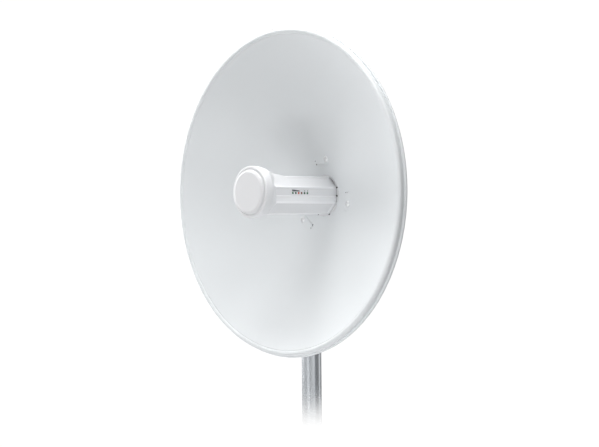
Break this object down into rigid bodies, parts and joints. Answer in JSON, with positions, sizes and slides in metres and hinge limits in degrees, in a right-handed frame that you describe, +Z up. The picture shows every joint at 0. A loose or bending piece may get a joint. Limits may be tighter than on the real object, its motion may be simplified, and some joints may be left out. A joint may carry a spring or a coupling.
{
  "type": "outdoor wireless bridge",
  "caption": "Outdoor wireless bridge: round parabolic dish with the radio inside an octagonal feed tube, on an offset mast clamp with a tilting bracket.",
  "frame": {"origin": "on the mast's axis, at the middle of the clamp", "axes": "+Z up along the mast, -Y the way the dish looks, +X to the right of a person facing the dish"},
  "size_m": [0.6499, 0.382, 0.65],
  "materials": {
    "painted_dish": "satin powder coat",
    "white_plastic": "fine satin moulding",
    "grey_plastic": "satin",
    "zinc_steel": "galvanised",
    "bolt_steel": "zinc plated",
    "cast_alloy": "cast",
    "spun_alloy": "satin",
    "seal_rubber": "matte",
    "circuit_board": "solder mask",
    "port_metal": "tinned",
    "lamp_pipe": "clear tinted",
    "label_film": "satin film",
    "scale_plate": "matte"
  },
  "bodies": {
    "mast_mount": {"mast_bracket": "zinc_steel", "inner_jaw_upper": "cast_alloy", "inner_jaw_lower": "cast_alloy", "clamp_bolts": "bolt_steel", "ground_screw": "bolt_steel", "pivot_bolt": "bolt_steel", "pivot_washer": "bolt_steel", "pivot_nut": "bolt_steel", "lock_bolts": "bolt_steel", "lock_washers": "bolt_steel", "lock_nuts": "bolt_steel"},
    "dish": {"reflector": "painted_dish", "backing_ring": "grey_plastic", "dish_bracket": "zinc_steel", "tilt_scale": "scale_plate", "reflector_bolts": "bolt_steel", "reflector_nuts": "bolt_steel", "feed_socket": "white_plastic", "socket_screws": "bolt_steel", "feed_upper_shell": "white_plastic", "feed_lower_shell": "white_plastic", "horn_shroud": "white_plastic", "feed_cap": "white_plastic", "cap_gasket": "seal_rubber", "subreflector": "spun_alloy", "radiator_board": "circuit_board", "radiator_posts": "white_plastic", "signal_leads": "bolt_steel", "main_board": "circuit_board", "rf_shield": "port_metal", "ethernet_jack": "port_metal", "led_light_pipes": "lamp_pipe", "status_label": "label_film", "board_screws": "bolt_steel", "shell_screws": "bolt_steel", "breather_vent": "grey_plastic", "release_spring": "bolt_steel"},
    "clamp_upper": {"outer_jaw_upper": "cast_alloy", "clamp_washers_upper": "bolt_steel", "clamp_nuts_upper": "bolt_steel"},
    "clamp_lower": {"outer_jaw_lower": "cast_alloy", "clamp_washers_lower": "bolt_steel", "clamp_nuts_lower": "bolt_steel"},
    "release": {"release_button": "grey_plastic", "release_latch": "white_plastic"},
    "tail_door": {"cable_door": "white_plastic", "cable_seal": "seal_rubber"},
    "reset": {"reset_button": "grey_plastic"}
  },
  "joints": [
    {"name": "elevation_tilt", "type": "hinge", "parent": "mast_mount", "child": "dish", "pos_m": [0.0499, -0.012, 0], "axis": [1, 0, 0], "range_deg": [-20, 20]},
    {"name": "clamp_upper_slide", "type": "slide", "parent": "mast_mount", "child": "clamp_upper", "axis": [0, 1, 0], "range_m": [0, 0.045]},
    {"name": "clamp_lower_slide", "type": "slide", "parent": "mast_mount", "child": "clamp_lower", "axis": [0, 1, 0], "range_m": [0, 0.045]},
    {"name": "release_press", "type": "slide", "parent": "dish", "child": "release", "axis": [0, 0, -1], "range_m": [0, 0.003], "stiffness_N_per_m": 900, "springref_m": -0.002, "deforming": ["release_spring"]},
    {"name": "tail_door_slide", "type": "slide", "parent": "dish", "child": "tail_door", "axis": [0, 1, 0], "range_m": [0, 0.03]},
    {"name": "reset_press", "type": "slide", "parent": "dish", "child": "reset", "axis": [0, -1, 0], "range_m": [0, 0.0005], "stiffness_N_per_m": 900, "springref_m": -0.0004}
  ]
}
